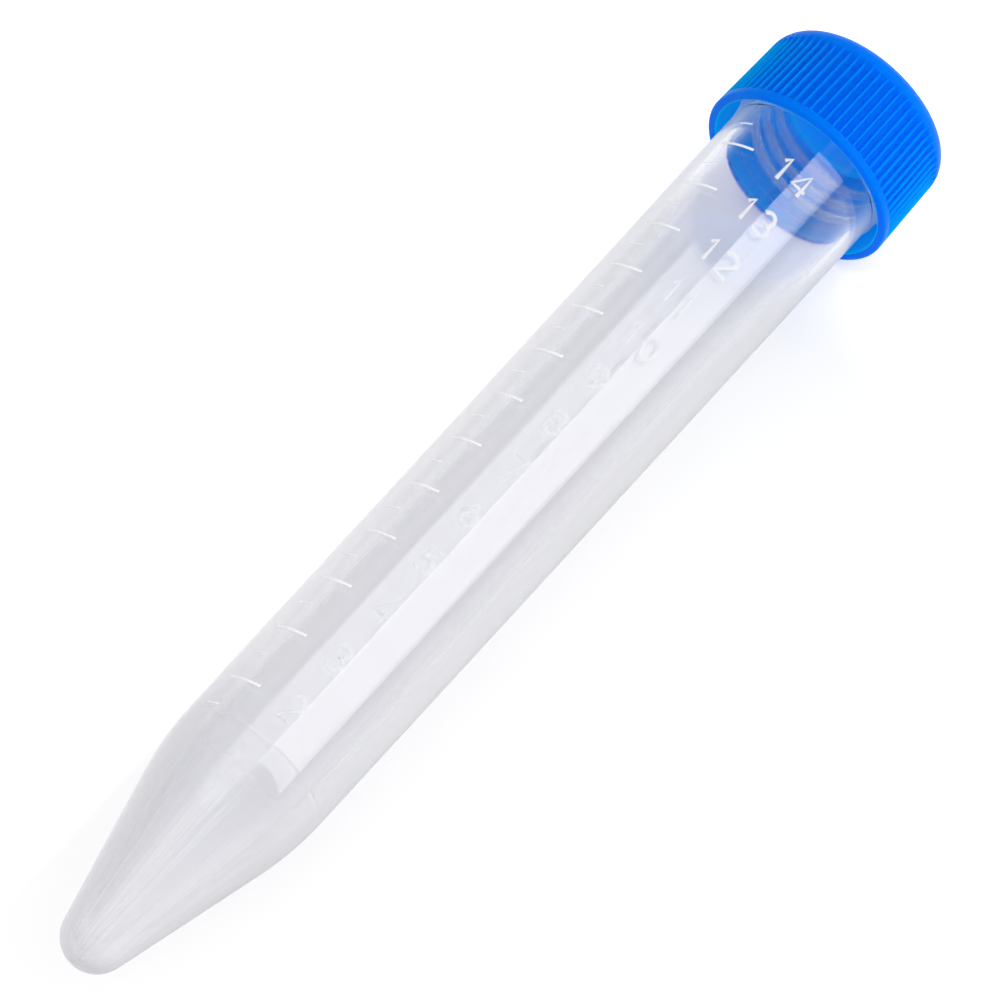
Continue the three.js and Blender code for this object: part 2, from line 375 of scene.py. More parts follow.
def clear_polypropylene():
    """Clear polypropylene moulded against polished steel. Its skin is smooth, with faint streaks
    along the tube where the plastic flowed, and fine lines that fan out over the cone: these stand up
    a little, and are painted paler with extra milk, a painted highlight for the streaks that the cone
    reflects. Its crystals scatter some light, so it is milkier where it is thick: at the solid tip,
    in the thread's ridges, and where the outer face is seen edge on. A field on the side away from
    the scale was left a little matt, to be written on."""
    material, tree = new_material("clear_polypropylene")
    spot = upright(tree)
    xyz = add_node(tree, "ShaderNodeSeparateXYZ", {0: spot})
    flat = add_node(tree, "ShaderNodeCombineXYZ", {0: xyz.outputs["X"], 1: xyz.outputs["Y"]})
    radius = add_node(tree, "ShaderNodeVectorMath", {0: flat}, operation="LENGTH").outputs["Value"]

    # The skin: flow streaks, and the lines on the cone.
    drawn = add_node(tree, "ShaderNodeVectorMath", {0: spot, 1: FLOW_WAVES}, operation="MULTIPLY")
    streaks = add_node(tree, "ShaderNodeTexNoise", {"Vector": drawn, "Scale": 1.0, "Detail": 3.0})
    gloss = add_node(tree, "ShaderNodeMapRange", {
        0: streaks, 1: NOISE_SPAN[0], 2: NOISE_SPAN[1], 3: SKIN_ROUGHNESS[0], 4: SKIN_ROUGHNESS[1]})
    flow = add_node(tree, "ShaderNodeBump", {
        "Height": streaks, "Strength": 0.1, "Distance": FLOW_RISE * MM})
    spoke = add_node(tree, "ShaderNodeVectorMath", {0: flat}, operation="NORMALIZE")
    fanned = add_node(tree, "ShaderNodeTexNoise", {
        "Vector": spoke, "Scale": CONE_LINES, "Detail": 1.0})
    raised = add_node(tree, "ShaderNodeMapRange", {
        0: fanned, 1: CONE_LINE_SPAN[0], 2: CONE_LINE_SPAN[1]}, interpolation_type="SMOOTHSTEP")
    in_cone = add_node(tree, "ShaderNodeMapRange", {
        0: xyz.outputs["Z"], 1: CONE_LINE_FADE[0], 2: CONE_LINE_FADE[1],
    }, interpolation_type="SMOOTHSTEP")
    lines = add_node(tree, "ShaderNodeMath", {0: raised, 1: in_cone}, operation="MULTIPLY")
    skin = add_node(tree, "ShaderNodeBump", {
        "Height": lines, "Strength": 1.0, "Distance": CONE_LINE_RISE * MM, "Normal": flow})

    # The milk at the tip and in the ridges, and extra milk on the cone's lines as a painted
    # highlight.
    tip = add_node(tree, "ShaderNodeMapRange", {
        0: xyz.outputs["Z"], 1: SOLID_TIP[0], 2: SOLID_TIP[1], 3: TIP_MILK, 4: 0.0,
    }, interpolation_type="SMOOTHSTEP")
    ridge = add_node(tree, "ShaderNodeMapRange", {
        0: radius, 1: NECK_RADIUS + RIDGE_SPAN[0], 2: NECK_RADIUS + RIDGE_SPAN[1],
        3: 0.0, 4: RIDGE_MILK})
    thick = add_node(tree, "ShaderNodeMath", {
        0: lines, 1: CONE_LINE_HIGHLIGHT, 2: tip}, operation="MULTIPLY_ADD")
    thick = add_node(tree, "ShaderNodeMath", {0: thick, 1: ridge}, operation="ADD")

    # The milk where the outer face is seen edge on, less at the neck.
    away = add_node(tree, "ShaderNodeLayerWeight", {"Blend": 0.5}).outputs["Facing"]
    clearer = add_node(tree, "ShaderNodeMapRange", {
        0: xyz.outputs["Z"], 1: CLEAR_NECK[0], 2: CLEAR_NECK[1], 3: 0.0, 4: CLEAR_NECK_SHIFT,
    }, interpolation_type="SMOOTHSTEP")
    away = add_node(tree, "ShaderNodeMath", {0: away, 1: clearer}, operation="SUBTRACT")
    edge_on = add_node(tree, "ShaderNodeMapRange", {
        0: away, 1: EDGE_SPAN[0], 2: EDGE_SPAN[1], 3: 0.0, 4: EDGE_MILK,
    }, interpolation_type="SMOOTHSTEP")

    # The writing patch: how far a point lies beyond a rectangle smaller by its corners' radius.
    turn = add_node(tree, "ShaderNodeMath", {
        0: xyz.outputs["Y"], 1: xyz.outputs["X"]}, operation="ARCTAN2")
    turn = add_node(tree, "ShaderNodeMath", {0: turn, 1: PATCH_TURN}, operation="SUBTRACT")
    turn = add_node(tree, "ShaderNodeMath", {0: turn, 1: math.pi, 2: -math.pi}, operation="WRAP")
    turn = add_node(tree, "ShaderNodeMath", {0: turn}, operation="ABSOLUTE")
    across = add_node(tree, "ShaderNodeMath", {
        0: turn, 1: radius, 2: PATCH_CORNER - PATCH_HALF[0]}, operation="MULTIPLY_ADD")
    across = add_node(tree, "ShaderNodeMath", {0: across, 1: 0.0}, operation="MAXIMUM")
    along = add_node(tree, "ShaderNodeMath", {
        0: xyz.outputs["Z"], 1: PATCH_HEIGHT}, operation="SUBTRACT")
    along = add_node(tree, "ShaderNodeMath", {0: along}, operation="ABSOLUTE")
    along = add_node(tree, "ShaderNodeMath", {
        0: along, 1: PATCH_CORNER - PATCH_HALF[1]}, operation="ADD")
    along = add_node(tree, "ShaderNodeMath", {0: along, 1: 0.0}, operation="MAXIMUM")
    beyond = add_node(tree, "ShaderNodeCombineXYZ", {0: across, 1: along})
    beyond = add_node(tree, "ShaderNodeVectorMath", {0: beyond}, operation="LENGTH")
    patch = add_node(tree, "ShaderNodeMapRange", {
        0: beyond.outputs["Value"], 1: PATCH_CORNER + PATCH_EDGE, 2: PATCH_CORNER - PATCH_EDGE,
        3: 0.0, 4: PATCH_MILK})

    # All of the milk. The bore's face has neither the edge's nor the patch's.
    haze = add_node(tree, "ShaderNodeMapRange", {
        0: streaks, 1: NOISE_SPAN[0], 2: NOISE_SPAN[1], 3: 0.0, 4: 2 * WALL_MILK})
    outer = add_node(tree, "ShaderNodeAttribute", attribute_name="outside").outputs["Fac"]
    face = add_node(tree, "ShaderNodeMath", {0: edge_on, 1: patch}, operation="ADD")
    face = add_node(tree, "ShaderNodeMath", {0: face, 1: outer, 2: haze}, operation="MULTIPLY_ADD")
    total = add_node(tree, "ShaderNodeMath", {0: thick, 1: face}, operation="ADD")
    total = add_node(tree, "ShaderNodeClamp", {0: total})

    clear = add_node(tree, "ShaderNodeBsdfPrincipled", {
        "Base Color": linear("f3f3f5"),
        "Roughness": gloss,
        "Normal": skin,
        "IOR": POLYPROPYLENE_IOR,
        "Transmission Weight": 1.0,
    })
    lit_behind = add_node(tree, "ShaderNodeBsdfTranslucent", {"Color": linear("e0e0e3")})
    lit_before = add_node(tree, "ShaderNodeBsdfPrincipled", {
        "Base Color": linear("d8d8dc"), "Roughness": gloss, "Normal": skin,
        "IOR": POLYPROPYLENE_IOR})
    milk = add_node(tree, "ShaderNodeMixShader", {0: MILK_FRONT, 1: lit_behind, 2: lit_before})
    plastic = add_node(tree, "ShaderNodeMixShader", {0: total, 1: clear, 2: milk})
    path = add_node(tree, "ShaderNodeLightPath")
    shade = add_node(tree, "ShaderNodeMath", {
        0: path.outputs["Is Shadow Ray"], 1: path.outputs["Is Diffuse Ray"]}, operation="MAXIMUM")
    through = add_node(tree, "ShaderNodeBsdfTransparent", {"Color": linear("fafafb")})
    lit = add_node(tree, "ShaderNodeMixShader", {0: shade, 1: plastic, 2: through})
    add_node(tree, "ShaderNodeOutputMaterial", {"Surface": lit})
    return material


def thread_tree(material):
    """Raises a screw thread on a wall's fine rows."""
    tree, start, end = geometry_tree("screw_thread", [
        "Radius", "Starts", "Pitch", "Height", "Foot", "Crest", "First", "Last", "Fade"])
    size = start.outputs
    spot = add_node(tree, "GeometryNodeInputPosition")
    xyz = add_node(tree, "ShaderNodeSeparateXYZ", {0: spot})
    flat = add_node(tree, "ShaderNodeCombineXYZ", {0: xyz.outputs["X"], 1: xyz.outputs["Y"]})

    # How many ridges up a point is. Its ridge's middle is at the nearest whole number.
    turn = add_node(tree, "ShaderNodeMath", {
        0: xyz.outputs["Y"], 1: xyz.outputs["X"]}, operation="ARCTAN2")
    turns = add_node(tree, "ShaderNodeMath", {0: turn, 1: 2 * math.pi}, operation="DIVIDE")
    climbed = add_node(tree, "ShaderNodeMath", {0: turns, 1: size["Starts"]}, operation="MULTIPLY")
    above = add_node(tree, "ShaderNodeMath", {
        0: xyz.outputs["Z"], 1: size["First"]}, operation="SUBTRACT")
    ridges = add_node(tree, "ShaderNodeMath", {0: above, 1: size["Pitch"]}, operation="DIVIDE")
    ridges = add_node(tree, "ShaderNodeMath", {0: ridges, 1: climbed}, operation="SUBTRACT")
    ridges = add_node(tree, "ShaderNodeMath", {0: ridges, 1: 0.5}, operation="ADD")
    nearest = add_node(tree, "ShaderNodeMath", {0: ridges}, operation="ROUND")
    off = add_node(tree, "ShaderNodeMath", {0: ridges, 1: nearest}, operation="SUBTRACT")
    off = add_node(tree, "ShaderNodeMath", {0: off, 1: size["Pitch"]}, operation="MULTIPLY")

    # The ridge's rounded section, from its foot to its crest.
    away = add_node(tree, "ShaderNodeMath", {0: off}, operation="ABSOLUTE")
    foot = add_node(tree, "ShaderNodeMath", {0: size["Foot"], 1: 2.0}, operation="DIVIDE")
    crest = add_node(tree, "ShaderNodeMath", {0: size["Crest"], 1: 2.0}, operation="DIVIDE")
    flank = add_node(tree, "ShaderNodeMapRange", {
        0: away, 1: foot, 2: crest, 3: 0.0, 4: 1.0}, interpolation_type="SMOOTHSTEP")

    # The thread runs out at its first and last ridge.
    middle = add_node(tree, "ShaderNodeMath", {0: xyz.outputs["Z"], 1: off}, operation="SUBTRACT")
    first = add_node(tree, "ShaderNodeMath", {0: middle, 1: size["First"]}, operation="SUBTRACT")
    last = add_node(tree, "ShaderNodeMath", {0: size["Last"], 1: middle}, operation="SUBTRACT")
    ends = add_node(tree, "ShaderNodeMath", {0: first, 1: last}, operation="MINIMUM")
    ends = add_node(tree, "ShaderNodeMath", {0: ends, 1: size["Fade"]}, operation="DIVIDE")
    ends = add_node(tree, "ShaderNodeClamp", {0: ends})
    height = add_node(tree, "ShaderNodeMath", {0: ends, 1: size["Height"]}, operation="MULTIPLY")
    height = add_node(tree, "ShaderNodeMath", {0: flank, 1: height}, operation="MULTIPLY")

    # Only the points on the neck's outer face move.
    radius = add_node(tree, "ShaderNodeVectorMath", {0: flat}, operation="LENGTH").outputs["Value"]
    gap = add_node(tree, "ShaderNodeMath", {0: radius, 1: size["Radius"]}, operation="SUBTRACT")
    gap = add_node(tree, "ShaderNodeMath", {0: gap}, operation="ABSOLUTE")
    here = add_node(tree, "ShaderNodeMath", {0: gap, 1: THREAD_ROOM}, operation="LESS_THAN")
    height = add_node(tree, "ShaderNodeMath", {0: height, 1: here}, operation="MULTIPLY")
    outward = add_node(tree, "ShaderNodeVectorMath", {0: flat}, operation="NORMALIZE")
    move = add_node(tree, "ShaderNodeVectorMath", {0: outward, "Scale": height}, operation="SCALE")
    raised = add_node(tree, "GeometryNodeSetPosition", {
        "Geometry": size["Geometry"], "Offset": move})
    finish_tree(tree, end, raised, material)
    return tree


def with_mould_line(profile, height, rise):
    """A profile with a fine round ridge or groove at a height."""
    low, high = height - MOULD_LINE / 2, height + MOULD_LINE / 2
    (r0, h0), (r1, h1) = next(
        ends for ends in zip(profile, profile[1:]) if ends[0][1] <= height <= ends[1][1])
    line = []
    for i in range(MOULD_LINE_STEPS + 1):
        share = i / MOULD_LINE_STEPS
        level = low + MOULD_LINE * share
        base = r0 + (r1 - r0) * (level - h0) / (h1 - h0)
        line.append((base + rise * math.sin(math.pi * share), level))
    before = [point for point in profile if point[1] < low - 0.01]
    return before + line + [point for point in profile if point[1] > high + 0.01]


def tube_profile():
    """The wall's section in two parts: up the outside and over the lip, and down the bore."""
    outside = wall(0, TIP_RADIUS, SHOULDER_RADIUS, SHOULDER_BEND)
    outside = with_mould_line(outside, *SHOULDER_LINE)
    top = MOUTH_HEIGHT - LIP_RADIUS
    rows = math.ceil((top - RIM_HEIGHT) / THREAD_ROW)
    neck = [(NECK_RADIUS, RIM_HEIGHT + (top - RIM_HEIGHT) * i / rows) for i in range(rows + 1)]
    neck = with_mould_line(neck, *NECK_LINE)
    bore_radius = NECK_RADIUS - TUBE_WALL
    lip = [
        *arc(NECK_RADIUS - LIP_RADIUS, top, LIP_RADIUS, 0, math.pi / 2, LIP_STEPS)[1:],
        *arc(bore_radius + LIP_RADIUS, top, LIP_RADIUS, math.pi / 2, math.pi, LIP_STEPS),
    ]
    shoulder, bend = SHOULDER_RADIUS - TUBE_WALL, SHOULDER_BEND - TUBE_WALL
    inside = wall(TIP_FLOOR, TIP_BORE_RADIUS, shoulder, bend)
    return [*outside, *neck, *lip], [(bore_radius, RIM_HEIGHT), *reversed(inside)]


def note_on_points(mesh, name, shares):
    """Notes a number from 0 to 1 on each point of a mesh, for the material to read."""
    note = mesh.attributes.new(name, "FLOAT", "POINT")
    note.data.foreach_set("value", [float(share) for share in shares])


clear = clear_polypropylene()
outer_face, bore_face = tube_profile()
tube_blank = revolve("tube", [*outer_face, *bore_face], TUBE_SIDES)
outer_points = 1 + (len(outer_face) - 1) * TUBE_SIDES
is_outside = [number < outer_points for number in range(len(tube_blank.vertices))]
note_on_points(tube_blank, "outside", is_outside)
tube_mesh = grown("tube", tube_blank, thread_tree(clear), {
    "Radius": NECK_RADIUS,
    "Starts": THREAD_STARTS,
    "Pitch": THREAD_PITCH,
    "Height": THREAD_HEIGHT,
    "Foot": THREAD_FOOT,
    "Crest": THREAD_CREST,
    "First": RIM_HEIGHT + THREAD_FIRST,
    "Last": MOUTH_HEIGHT - THREAD_LAND,
    "Fade": THREAD_FADE,
})
lay("clear_tube", tube_mesh, "tube_body", ["tube"])


# ---- Scale: marks, numbers ----
# Raised lines and figures on the barrel, part of the tube's moulding. Their steel was left matt, so
# they scatter light and look white. Each line lies at the height where the bore below it holds that
# many millilitres.

ROLL = 23.1  # azimuth, from straight up, of the direction that the camera looks from
FIRST_MARK, LAST_MARK, MARK_STEP = 1.5, 14.5, 0.5
SCALE_WALL = 1.073  # the wall that the scale was cut for
SLICE = 0.02
MARK_WIDTH = (0.27, 0.16)  # whole millilitres, and halves
MARK_RISE = 0.03
MARK_SUNK = 0.01
MARK_POINTS = 30
MAJOR_ARC = (-62 + ROLL, -34 + ROLL)
MINOR_ARC = (-62 + ROLL, -50 + ROLL)
BARREL = {"Shoulder": CONE_HEIGHT, "Slope": math.tan(DRAFT), "Neck": NECK_RADIUS}

GRIT_WAVES = 6.5  # to a millimetre
GRIT_RISE = 0.02
FROST = (0.7225, 0.9775)  # the share of the face that looks white, between its grains and on them
FROST_BACK = 0.3  # the share of its light that comes from behind


def bore_heights(volumes):
    """The heights at which the bore holds these volumes, in ml, summed in thin slices."""
    shoulder, bend = SHOULDER_RADIUS - SCALE_WALL, SHOULDER_BEND - SCALE_WALL
    inside = wall(TIP_FLOOR, TIP_BORE_RADIUS, shoulder, bend)
    inside.append((NECK_RADIUS - SCALE_WALL, RIM_HEIGHT))
    heights, held, height, piece = [], 0.0, TIP_FLOOR, 0
    for volume in volumes:
        while held < volume * 1000:
            height += SLICE
            while piece < len(inside) - 2 and inside[piece + 1][1] < height:
                piece += 1
            (r0, h0), (r1, h1) = inside[piece], inside[piece + 1]
            radius = r0 + (r1 - r0) * (height - h0) / (h1 - h0)
            held += math.pi * radius * radius * SLICE
        heights.append(height)
    return heights


def frosted_polypropylene(name, white):
    """The same plastic where the mould's steel is matt. Its fine grain, drawn 0.15 mm wide, scatters
    light, so that most of the face looks white. The white is a little dimmer where the grain is
    coarser."""
    material, tree = new_material(name)
    grit = add_node(tree, "ShaderNodeTexNoise", {
        "Vector": upright(tree), "Scale": GRIT_WAVES, "Detail": 2.0})
    rough = add_node(tree, "ShaderNodeBump", {
        "Height": grit, "Strength": 0.3, "Distance": GRIT_RISE * MM})
    front = add_node(tree, "ShaderNodeBsdfDiffuse", {"Color": linear(white), "Normal": rough})
    back_lit = add_node(tree, "ShaderNodeBsdfTranslucent", {"Color": linear(white)})
    grain = add_node(tree, "ShaderNodeMixShader", {0: FROST_BACK, 1: front, 2: back_lit})
    clear = add_node(tree, "ShaderNodeBsdfTransparent", {"Color": linear("ffffff")})
    share = add_node(tree, "ShaderNodeMapRange", {
        0: grit, 1: NOISE_SPAN[0], 2: NOISE_SPAN[1], 3: FROST[0], 4: FROST[1]})
    both = add_node(tree, "ShaderNodeMixShader", {0: share, 1: clear, 2: grain})
    add_node(tree, "ShaderNodeOutputMaterial", {"Surface": both})
    return material


def wrap(tree, geometry, size):
    """Wraps a flat sheet on the barrel: X is the azimuth in radians, Y the rise over the wall, Z the
    height. The sizes are those of BARREL."""
    spot = add_node(tree, "GeometryNodeInputPosition")
    xyz = add_node(tree, "ShaderNodeSeparateXYZ", {0: spot})
    above = add_node(tree, "ShaderNodeMath", {
        0: xyz.outputs["Z"], 1: size["Shoulder"]}, operation="SUBTRACT")
    radius = add_node(tree, "ShaderNodeMath", {
        0: above, 1: size["Slope"], 2: SHOULDER_RADIUS}, operation="MULTIPLY_ADD")
    radius = add_node(tree, "ShaderNodeMath", {0: radius, 1: size["Neck"]}, operation="MINIMUM")
    radius = add_node(tree, "ShaderNodeMath", {0: radius, 1: xyz.outputs["Y"]}, operation="ADD")
    cosine = add_node(tree, "ShaderNodeMath", {0: xyz.outputs["X"]}, operation="COSINE")
    sine = add_node(tree, "ShaderNodeMath", {0: xyz.outputs["X"]}, operation="SINE")
    x = add_node(tree, "ShaderNodeMath", {0: radius, 1: cosine}, operation="MULTIPLY")
    y = add_node(tree, "ShaderNodeMath", {0: radius, 1: sine}, operation="MULTIPLY")
    place = add_node(tree, "ShaderNodeCombineXYZ", {0: x, 1: y, 2: xyz.outputs["Z"]})
    return add_node(tree, "GeometryNodeSetPosition", {"Geometry": geometry, "Position": place})


def marks_tree(material):
    """A raised line at each point, wrapped on the barrel. Every second line is the short one."""
    tree, start, end = geometry_tree("scale_marks", [
        "Left", "Major Right", "Minor Right", "Major Width", "Minor Width", "Rise", "Sunk", *BARREL])
    size = start.outputs
    bar = add_node(tree, "GeometryNodeMeshCube", {
        "Vertices X": MARK_POINTS, "Vertices Y": 2, "Vertices Z": 2})
    order = add_node(tree, "GeometryNodeInputIndex")
    is_major = add_node(tree, "ShaderNodeMath", {0: order, 1: 2.0}, operation="MODULO")
    right = add_node(tree, "ShaderNodeMix", {
        0: is_major, 2: size["Minor Right"], 3: size["Major Right"]}, data_type="FLOAT")
    wide = add_node(tree, "ShaderNodeMix", {
        0: is_major, 2: size["Minor Width"], 3: size["Major Width"]}, data_type="FLOAT")
    long = add_node(tree, "ShaderNodeMath", {0: right, 1: size["Left"]}, operation="SUBTRACT")
    deep = add_node(tree, "ShaderNodeMath", {0: size["Rise"], 1: size["Sunk"]}, operation="ADD")
    scale = add_node(tree, "ShaderNodeCombineXYZ", {0: long, 1: deep, 2: wide})
    lines = add_node(tree, "GeometryNodeInstanceOnPoints", {
        "Points": size["Geometry"], "Instance": bar, "Scale": scale})
    real = add_node(tree, "GeometryNodeRealizeInstances", {"Geometry": lines})
    finish_tree(tree, end, wrap(tree, real, size), material)
    return tree


frosted = frosted_polypropylene("frosted_polypropylene", "ffffff")
mark_count = round((LAST_MARK - FIRST_MARK) / MARK_STEP) + 1
volumes = [FIRST_MARK + MARK_STEP * i for i in range(mark_count)]
mark_heights = bore_heights(volumes)
left = math.radians(MAJOR_ARC[0])
rights = [math.radians(MAJOR_ARC[1] if volume % 1 == 0 else MINOR_ARC[1]) for volume in volumes]
centres = [
    ((left + right) / 2, (MARK_RISE - MARK_SUNK) / 2, height)
    for right, height in zip(rights, mark_heights)
]
mark_points = bpy.data.meshes.new("scale_marks")
mark_points.from_pydata(centres, [], [])
marks_mesh = grown("scale_marks", mark_points, marks_tree(frosted), {
    "Left": left,
    "Major Right": math.radians(MAJOR_ARC[1]),
    "Minor Right": math.radians(MINOR_ARC[1]),
    "Major Width": MARK_WIDTH[0],
    "Minor Width": MARK_WIDTH[1],
    "Rise": MARK_RISE,
    "Sunk": MARK_SUNK,
    **BARREL,
})
lay("scale_marks", marks_mesh, "tube_body")


DIGIT_HEIGHT = 3.15
DIGIT_STROKE = 0.42
DIGIT_START = -14 + ROLL
ARC_STEP = 15  # degrees

# Each figure's strokes, in shares of its height: points, and arcs as centre, radii and two angles.
# "Step" is how far on the next figure starts.
FIGURES = {
    "0": {"step": 0.83, "strokes": [
        [(0.28, 0.5, 0.28, 0.5, 90, 450)]]},
    "1": {"step": 0.70, "strokes": [
        [(0, 0.8), (0.19, 1), (0.19, 0)]]},
    "2": {"step": 0.83, "strokes": [
        [(0.28, 0.72, 0.27, 0.28, 165, -35), (0, 0), (0.56, 0)]]},
    "3": {"step": 0.83, "strokes": [
        [(0.27, 0.75, 0.24, 0.25, 155, -90), (0.27, 0.26, 0.29, 0.26, 85, -155)]]},
    "4": {"step": 0.83, "strokes": [
        [(0.44, 0), (0.44, 1), (0, 0.3), (0.6, 0.3)]]},
    "5": {"step": 0.83, "strokes": [
        [(0.52, 1), (0.1, 1), (0.05, 0.54), (0.26, 0.31, 0.29, 0.31, 120, -150)]]},
    "6": {"step": 0.83, "strokes": [
        [(0.28, 0.31, 0.28, 0.31, 180, 540)], [(0.5, 0.31, 0.5, 0.69, 180, 105)]]},
    "7": {"step": 0.83, "strokes": [
        [(0, 1), (0.56, 1), (0.2, 0)]]},
    "8": {"step": 0.83, "strokes": [
        [(0.28, 0.77, 0.22, 0.23, 0, 360)], [(0.28, 0.27, 0.28, 0.27, 0, 360)]]},
    "9": {"step": 0.83, "strokes": [
        [(0.28, 0.69, 0.28, 0.31, 0, 360)], [(0.06, 0.69, 0.5, 0.69, 0, -75)]]},
}


def stroke_points(stroke, left, height):
    """A stroke's points with X round the barrel and Y up it, in millimetres."""
    points = []
    for part in stroke:
        if len(part) == 2:
            points.append(part)
            continue
        x, y, wide, tall, start, end = part
        steps = max(4, round(abs(end - start) / ARC_STEP))
        turns = [math.radians(start + (end - start) * i / steps) for i in range(steps + 1)]
        points += [(x + wide * math.cos(turn), y + tall * math.sin(turn)) for turn in turns]
    drawn = DIGIT_HEIGHT - DIGIT_STROKE
    first = left + DIGIT_STROKE / 2
    return [(first + x * drawn, height + (y - 0.5) * drawn) for x, y in points]


def barrel_radius(height):
    """The tube's outer radius at a height between the shoulder and the mouth."""
    return min(NECK_RADIUS, SHOULDER_RADIUS + (height - CONE_HEIGHT) * math.tan(DRAFT))


def wrap_tree(material):
    """Wraps a flat sheet on the barrel."""
    tree, start, end = geometry_tree("wrap_on_barrel", BARREL)
    finish_tree(tree, end, wrap(tree, start.outputs["Geometry"], start.outputs), material)
    return tree


lettering = bpy.data.curves.new("scale_figures", "CURVE")
lettering.dimensions = "3D"
lettering.bevel_depth = DIGIT_STROKE / 2
lettering.bevel_resolution = 2
lettering.use_fill_caps = True
for volume, height in zip(volumes, mark_heights):
    if volume % 1:
        continue
    left = 0.0
    for figure in str(round(volume)):
        for stroke in FIGURES[figure]["strokes"]:
            points = stroke_points(stroke, left, height)
            spline = lettering.splines.new("POLY")
            spline.points.add(len(points) - 1)
            for point, (x, y) in zip(spline.points, points):
                point.co = (x, y, 0, 1)
        left += FIGURES[figure]["step"] * (DIGIT_HEIGHT - DIGIT_STROKE)

holder = bpy.data.objects.new("scale_figures", lettering)
bpy.context.scene.collection.objects.link(holder)
sheet = bpy.data.meshes.new_from_object(
    holder.evaluated_get(bpy.context.evaluated_depsgraph_get()))
bpy.data.objects.remove(holder)
for corner in sheet.vertices:
    x, y, z = corner.co
    turn = math.radians(DIGIT_START) + x / barrel_radius(y)
    corner.co = (turn, z * MARK_RISE / (DIGIT_STROKE / 2), y)
figure_frost = frosted_polypropylene("coarsely_frosted_polypropylene", "e9eaee")
figures_mesh = grown("scale_figures", sheet, wrap_tree(figure_frost), BARREL)
lay("scale_figures", figures_mesh, "tube_body")


# ---- Screw cap ----
# One injection moulding in opaque blue polypropylene: a ribbed skirt between two plain bands, a
# flat top with a rounded edge, and inside it a seal ring that enters the tube's mouth. The thread
# in its bore is left out, so that the cap can slide straight off the neck's own thread.

CAP_RADIUS = (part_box("screw_cap")[1].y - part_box("screw_cap")[0].y) / 2 / MM
CAP_BORE_RADIUS = 9.58
CAP_TOP_THICKNESS = 1.4
CAP_TOP_GAP = 0.01  # how far the top stays inside the solids' box
CAP_DRAFT = 0.24
CAP_EDGE_RADIUS = 2.1
RIM_BAND = 0.8
RIM_ROUND = 0.22
SEAL_RADIUS = 7.08
SEAL_WALL = 0.8
SEAL_DEPTH = 2.2

RIB_COUNT = 72
RIB_TURN = 1.0 + ROLL
RIB_DEPTH = 0.38
RIB_CREST = 0.08  # shares of the rib's pitch
RIB_FOOT = 0.42
RIB_END = (0.35, 1.1)  # how far a flute takes to reach its depth, at its lower and its upper end
RIB_STEPS, RIB_END_STEPS, RIM_STEPS, EDGE_STEPS = 12, 6, 4, 10
WELD = 0.002

# Painted highlight: the ribs' crests get a paler blue than the flutes; the plain bands get this
# share.
BAND_HIGHLIGHT = 0.5  # the plain bands against the ribs' crests, 1, and the flutes between them, 0
WALL_GLOW = 0.4  # the share of the wall's light that comes from behind
WALL_LIGHT = 0.9  # share of the light on a face that goes on through the wall
PIGMENT_WAVES = 0.5  # to a millimetre
PEEL_WAVES = 2.5
PEEL_RISE = 0.04
SATIN_ROUGHNESS = (0.3, 0.42)
LIGHT_SPREAD = 2.0  # how far light spreads inside the plastic


